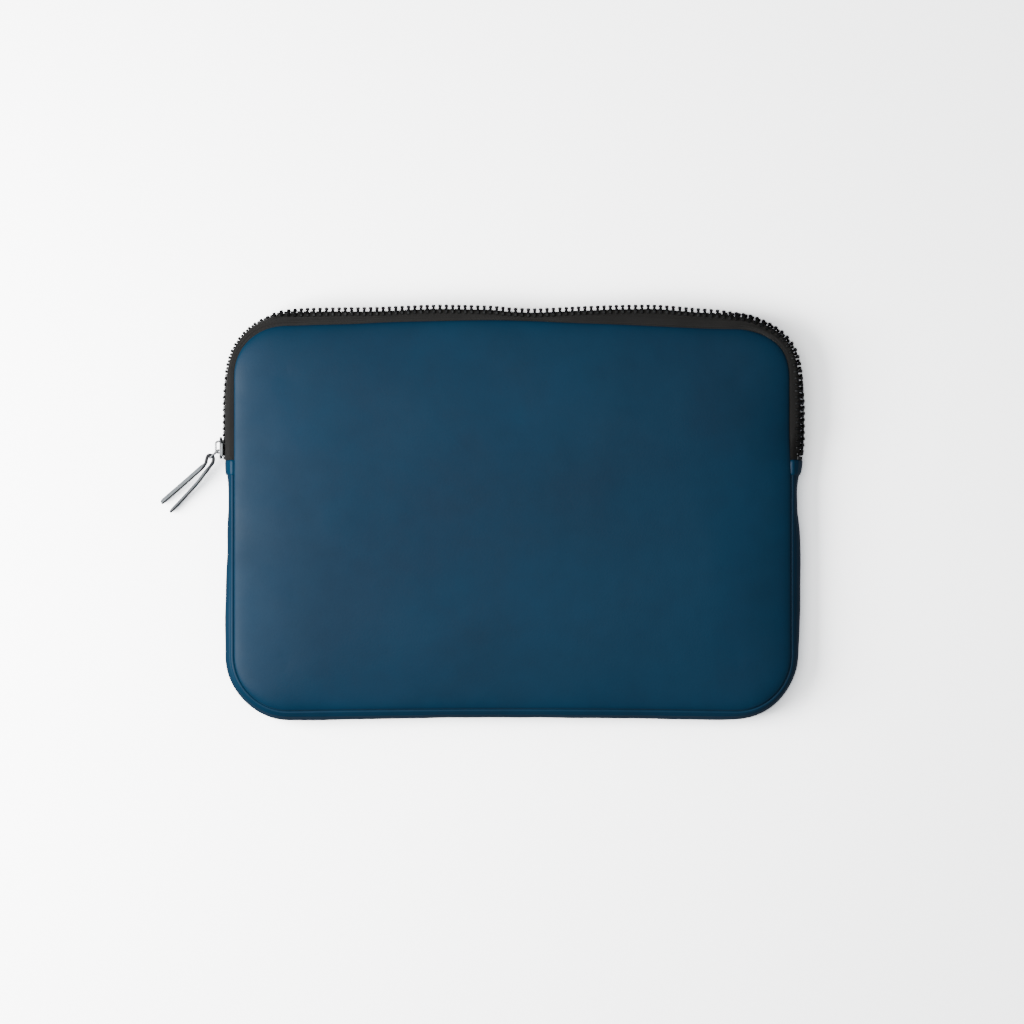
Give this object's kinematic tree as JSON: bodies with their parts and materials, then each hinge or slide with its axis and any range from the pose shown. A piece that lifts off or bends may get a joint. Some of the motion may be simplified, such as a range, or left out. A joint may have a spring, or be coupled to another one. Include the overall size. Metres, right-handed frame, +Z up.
{
  "type": "laptop sleeve",
  "caption": "Padded zip-top laptop sleeve with rounded corners, lying flat with the zip open and a folded strap pull on its slider.",
  "frame": {"origin": "middle of the flat face that the sleeve lies on", "axes": "+X across the sleeve, from the slider's side to the other; +Y from the bottom seam to the mouth; +Z up, out of the front panel"},
  "size_m": [0.4323, 0.2759, 0.0258],
  "materials": {
    "coated_skin": "smooth coated soft faux leather with a low satin sheen",
    "foam": "closed-cell foam sheet",
    "lining": "brushed tricot cloth",
    "binding": "narrow woven binding",
    "zip_tape": "ribbed woven tape",
    "zip_teeth": "black oxide with bright rubbed edges",
    "slider_metal": "dark polished gunmetal",
    "link_metal": "bright nickel",
    "strap_leather": "thin slate strap with pale lit edges"
  },
  "bodies": {
    "root": {"back_panel_skin": "coated_skin", "back_panel_foam": "foam", "back_panel_lining": "lining", "front_panel_skin": "coated_skin", "front_panel_foam": "foam", "front_panel_lining": "lining", "gusset_skin": "coated_skin", "gusset_foam": "foam", "gusset_lining": "lining", "gusset_tab_left": "coated_skin", "gusset_tab_right": "coated_skin", "back_seam_binding": "binding", "front_seam_binding": "binding", "zip_tape_back": "zip_tape", "zip_tape_left_stub": "zip_tape", "zip_tape_right_stub": "zip_tape", "zip_teeth_back": "zip_teeth", "zip_teeth_front_ends": "zip_teeth", "zip_bottom_stop": "zip_teeth", "zip_top_stops": "zip_teeth"},
    "mouth_flap": {"flap_skin": "coated_skin", "flap_foam": "foam", "flap_lining": "lining", "flap_seam_binding": "binding", "zip_tape_front": "zip_tape", "zip_teeth_front": "zip_teeth"},
    "zip_slider": {"slider_body": "slider_metal", "slider_bail": "slider_metal"},
    "link": {"pull_link": "link_metal"},
    "strap": {"pull_strap": "strap_leather"}
  },
  "joints": [
    {"name": "mouth_opening", "type": "hinge", "parent": "root", "child": "mouth_flap", "pos_m": [0, 0.05602, 0.026], "axis": [1, 0, 0], "range_deg": [0, 55]},
    {"name": "slider_travel", "type": "slide", "parent": "root", "child": "zip_slider", "axis": [0, 1, 0], "range_m": [0, 0.039]},
    {"name": "link_swing", "type": "hinge", "parent": "zip_slider", "child": "link", "pos_m": [-0.1964, 0.044, 0.012], "axis": [0, 0, 1], "range_deg": [-85, 24]},
    {"name": "strap_swing", "type": "hinge", "parent": "link", "child": "strap", "pos_m": [-0.20196, 0.03882, 0.012], "axis": [0, 0, 1], "range_deg": [-15, 15]}
  ]
}
